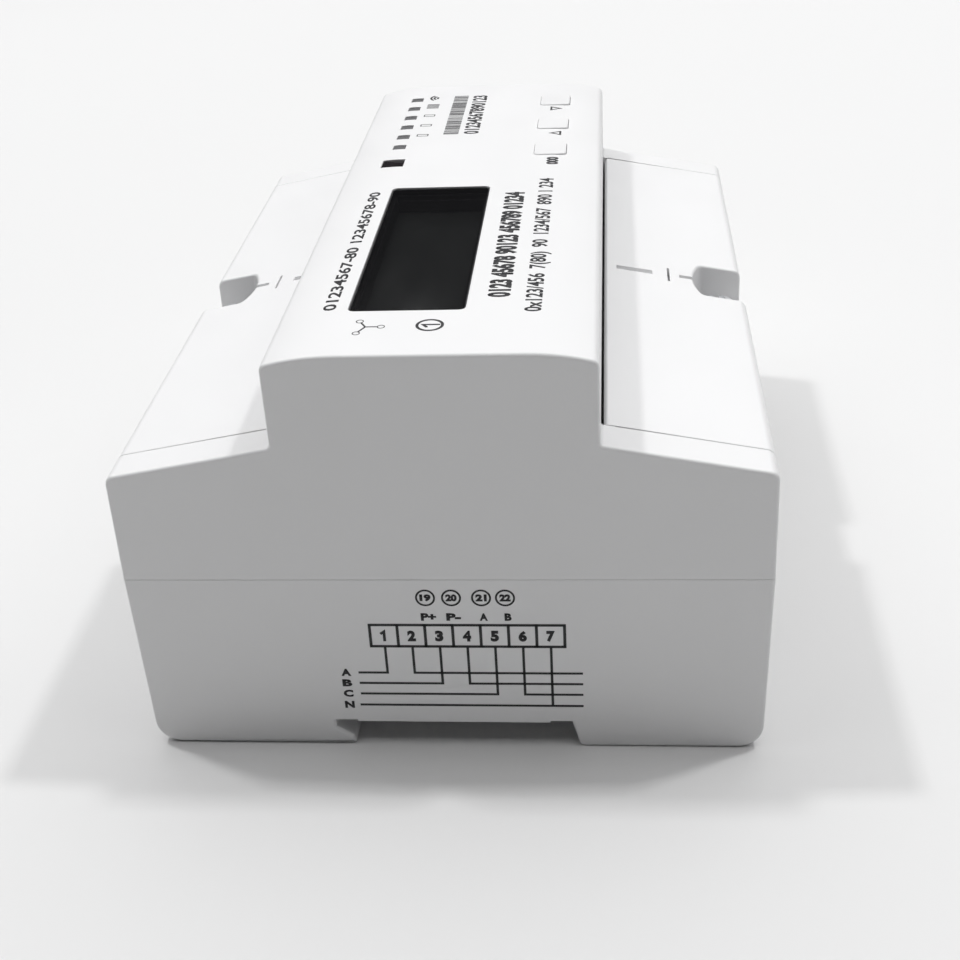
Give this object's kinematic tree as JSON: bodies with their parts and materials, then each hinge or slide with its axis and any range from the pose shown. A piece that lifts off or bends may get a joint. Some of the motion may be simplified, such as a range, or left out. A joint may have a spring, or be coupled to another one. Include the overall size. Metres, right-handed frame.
{
  "type": "smart electric meter",
  "caption": "White rail-mounted three-phase smart electricity meter: stepped box with a raised display panel, press buttons, hinged terminal covers and screw terminals.",
  "frame": {"origin": "centre of the back, on the plane of the two feet that stand on either side of the rail slot", "axes": "+X along the rail, in the front panel's reading direction; +Y towards the meter's upper edge; +Z out of the front panel"},
  "size_m": [0.126, 0.092, 0.0648],
  "materials": {
    "housing_white": "fine satin moulded polycarbonate, white",
    "cover_white": "satin moulded polycarbonate, white",
    "button_white": "satin moulded plastic, white",
    "clip_plastic": "satin moulded acetal, light grey",
    "smoked_pane": "smoked clear acrylic, polished",
    "lcd_glass": "liquid-crystal cell, switched off",
    "light_guide": "unlit translucent grey acrylic",
    "optical_black": "polished infrared-passing black plastic",
    "circuit_board": "green solder mask on glass-epoxy",
    "component_black": "black moulded component body",
    "relay_case": "dark moulded relay case",
    "screening_can": "tinned steel can",
    "copper": "bare copper strap",
    "cage_brass": "pressed brass cage",
    "screw_steel": "zinc-plated steel",
    "terminal_block": "black moulded terminal block",
    "ribbon": "grey flat ribbon cable"
  },
  "bodies": {
    "housing": {"base_housing": "housing_white", "front_housing": "housing_white", "display_window": "smoked_pane", "lcd_module": "lcd_glass", "led_light_guide": "light_guide", "optical_port": "optical_black", "display_board": "circuit_board", "main_board": "circuit_board", "tact_switch_set": "component_black", "tact_switch_up": "component_black", "tact_switch_down": "component_black", "supply_transformer": "component_black", "storage_capacitor": "component_black", "current_transformer_a": "component_black", "current_transformer_b": "component_black", "current_transformer_c": "component_black", "relay_a": "relay_case", "relay_b": "relay_case", "relay_c": "relay_case", "wifi_module": "screening_can", "line_busbar_a": "copper", "line_busbar_b": "copper", "line_busbar_c": "copper", "load_busbar_a": "copper", "load_busbar_b": "copper", "load_busbar_c": "copper", "neutral_busbar": "copper", "case_screw_1": "screw_steel", "case_screw_2": "screw_steel", "case_screw_3": "screw_steel", "case_screw_4": "screw_steel", "aux_terminal_block": "terminal_block", "ribbon_cable": "ribbon"},
    "terminal_screw_1": {"terminal_screw_1": "screw_steel"},
    "terminal_cage_1": {"terminal_cage_1": "cage_brass"},
    "terminal_screw_2": {"terminal_screw_2": "screw_steel"},
    "terminal_cage_2": {"terminal_cage_2": "cage_brass"},
    "terminal_screw_3": {"terminal_screw_3": "screw_steel"},
    "terminal_cage_3": {"terminal_cage_3": "cage_brass"},
    "terminal_screw_4": {"terminal_screw_4": "screw_steel"},
    "terminal_cage_4": {"terminal_cage_4": "cage_brass"},
    "terminal_screw_5": {"terminal_screw_5": "screw_steel"},
    "terminal_cage_5": {"terminal_cage_5": "cage_brass"},
    "terminal_screw_6": {"terminal_screw_6": "screw_steel"},
    "terminal_cage_6": {"terminal_cage_6": "cage_brass"},
    "terminal_screw_7": {"terminal_screw_7": "screw_steel"},
    "terminal_cage_7": {"terminal_cage_7": "cage_brass"},
    "aux_screw_19": {"aux_screw_19": "screw_steel"},
    "aux_screw_20": {"aux_screw_20": "screw_steel"},
    "aux_screw_21": {"aux_screw_21": "screw_steel"},
    "aux_screw_22": {"aux_screw_22": "screw_steel"},
    "upper_cover": {"upper_terminal_cover": "cover_white"},
    "upper_seal_screw": {"upper_seal_screw": "screw_steel"},
    "lower_cover": {"lower_terminal_cover": "cover_white"},
    "lower_seal_screw": {"lower_seal_screw": "screw_steel"},
    "button_set": {"button_set": "button_white"},
    "button_up": {"button_up": "button_white"},
    "button_down": {"button_down": "button_white"},
    "left_rail_clip": {"left_rail_clip": "clip_plastic"},
    "right_rail_clip": {"right_rail_clip": "clip_plastic"}
  },
  "joints": [
    {"name": "terminal_screw_1_turn", "type": "hinge", "parent": "housing", "child": "terminal_screw_1", "pos_m": [-0.048, -0.0345, 0.036], "axis": [0, 0, -1], "range_deg": [0, 2521]},
    {"name": "terminal_cage_1_rise", "type": "slide", "parent": "housing", "child": "terminal_cage_1", "axis": [0, 0, 1], "range_m": [0, 0.007]},
    {"name": "terminal_screw_2_turn", "type": "hinge", "parent": "housing", "child": "terminal_screw_2", "pos_m": [-0.032, -0.0345, 0.036], "axis": [0, 0, -1], "range_deg": [0, 2521]},
    {"name": "terminal_cage_2_rise", "type": "slide", "parent": "housing", "child": "terminal_cage_2", "axis": [0, 0, 1], "range_m": [0, 0.007]},
    {"name": "terminal_screw_3_turn", "type": "hinge", "parent": "housing", "child": "terminal_screw_3", "pos_m": [-0.016, -0.0345, 0.036], "axis": [0, 0, -1], "range_deg": [0, 2521]},
    {"name": "terminal_cage_3_rise", "type": "slide", "parent": "housing", "child": "terminal_cage_3", "axis": [0, 0, 1], "range_m": [0, 0.007]},
    {"name": "terminal_screw_4_turn", "type": "hinge", "parent": "housing", "child": "terminal_screw_4", "pos_m": [0, -0.0345, 0.036], "axis": [0, 0, -1], "range_deg": [0, 2521]},
    {"name": "terminal_cage_4_rise", "type": "slide", "parent": "housing", "child": "terminal_cage_4", "axis": [0, 0, 1], "range_m": [0, 0.007]},
    {"name": "terminal_screw_5_turn", "type": "hinge", "parent": "housing", "child": "terminal_screw_5", "pos_m": [0.016, -0.0345, 0.036], "axis": [0, 0, -1], "range_deg": [0, 2521]},
    {"name": "terminal_cage_5_rise", "type": "slide", "parent": "housing", "child": "terminal_cage_5", "axis": [0, 0, 1], "range_m": [0, 0.007]},
    {"name": "terminal_screw_6_turn", "type": "hinge", "parent": "housing", "child": "terminal_screw_6", "pos_m": [0.032, -0.0345, 0.036], "axis": [0, 0, -1], "range_deg": [0, 2521]},
    {"name": "terminal_cage_6_rise", "type": "slide", "parent": "housing", "child": "terminal_cage_6", "axis": [0, 0, 1], "range_m": [0, 0.007]},
    {"name": "terminal_screw_7_turn", "type": "hinge", "parent": "housing", "child": "terminal_screw_7", "pos_m": [0.048, -0.0345, 0.036], "axis": [0, 0, -1], "range_deg": [0, 2521]},
    {"name": "terminal_cage_7_rise", "type": "slide", "parent": "housing", "child": "terminal_cage_7", "axis": [0, 0, 1], "range_m": [0, 0.007]},
    {"name": "aux_screw_19_turn", "type": "hinge", "parent": "housing", "child": "aux_screw_19", "pos_m": [-0.05, 0.036, 0.034], "axis": [0, 0, -1], "range_deg": [0, 1080]},
    {"name": "aux_screw_20_turn", "type": "hinge", "parent": "housing", "child": "aux_screw_20", "pos_m": [-0.0435, 0.036, 0.034], "axis": [0, 0, -1], "range_deg": [0, 1080]},
    {"name": "aux_screw_21_turn", "type": "hinge", "parent": "housing", "child": "aux_screw_21", "pos_m": [-0.037, 0.036, 0.034], "axis": [0, 0, -1], "range_deg": [0, 1080]},
    {"name": "aux_screw_22_turn", "type": "hinge", "parent": "housing", "child": "aux_screw_22", "pos_m": [-0.0305, 0.036, 0.034], "axis": [0, 0, -1], "range_deg": [0, 1080]},
    {"name": "upper_cover_hinge", "type": "hinge", "parent": "housing", "child": "upper_cover", "pos_m": [0, 0.0235, 0.04974], "axis": [1, 0, 0], "range_deg": [0, 98]},
    {"name": "upper_seal_screw_turn", "type": "hinge", "parent": "upper_cover", "child": "upper_seal_screw", "pos_m": [0, 0.0415, 0.0439], "axis": [0, 0, -1], "range_deg": [0, 720]},
    {"name": "lower_cover_hinge", "type": "hinge", "parent": "housing", "child": "lower_cover", "pos_m": [0, -0.0235, 0.04974], "axis": [-1, 0, 0], "range_deg": [0, 98]},
    {"name": "lower_seal_screw_turn", "type": "hinge", "parent": "lower_cover", "child": "lower_seal_screw", "pos_m": [0, -0.0415, 0.0439], "axis": [0, 0, -1], "range_deg": [0, 720]},
    {"name": "button_set_press", "type": "slide", "parent": "housing", "child": "button_set", "axis": [0, 0, -1], "range_m": [0, 0.0008], "stiffness_N_per_m": 2000},
    {"name": "button_up_press", "type": "slide", "parent": "housing", "child": "button_up", "axis": [0, 0, -1], "range_m": [0, 0.0008], "stiffness_N_per_m": 2000},
    {"name": "button_down_press", "type": "slide", "parent": "housing", "child": "button_down", "axis": [0, 0, -1], "range_m": [0, 0.0008], "stiffness_N_per_m": 2000},
    {"name": "left_rail_clip_pull", "type": "slide", "parent": "housing", "child": "left_rail_clip", "axis": [0, -1, 0], "range_m": [0, 0.005], "stiffness_N_per_m": 2000},
    {"name": "right_rail_clip_pull", "type": "slide", "parent": "housing", "child": "right_rail_clip", "axis": [0, -1, 0], "range_m": [0, 0.005], "stiffness_N_per_m": 2000}
  ],
  "couplings": [
    {"joint": "terminal_screw_1_turn", "follows": "terminal_cage_1_rise", "rad_per_m": 6283.2},
    {"joint": "terminal_screw_2_turn", "follows": "terminal_cage_2_rise", "rad_per_m": 6283.2},
    {"joint": "terminal_screw_3_turn", "follows": "terminal_cage_3_rise", "rad_per_m": 6283.2},
    {"joint": "terminal_screw_4_turn", "follows": "terminal_cage_4_rise", "rad_per_m": 6283.2},
    {"joint": "terminal_screw_5_turn", "follows": "terminal_cage_5_rise", "rad_per_m": 6283.2},
    {"joint": "terminal_screw_6_turn", "follows": "terminal_cage_6_rise", "rad_per_m": 6283.2},
    {"joint": "terminal_screw_7_turn", "follows": "terminal_cage_7_rise", "rad_per_m": 6283.2}
  ]
}
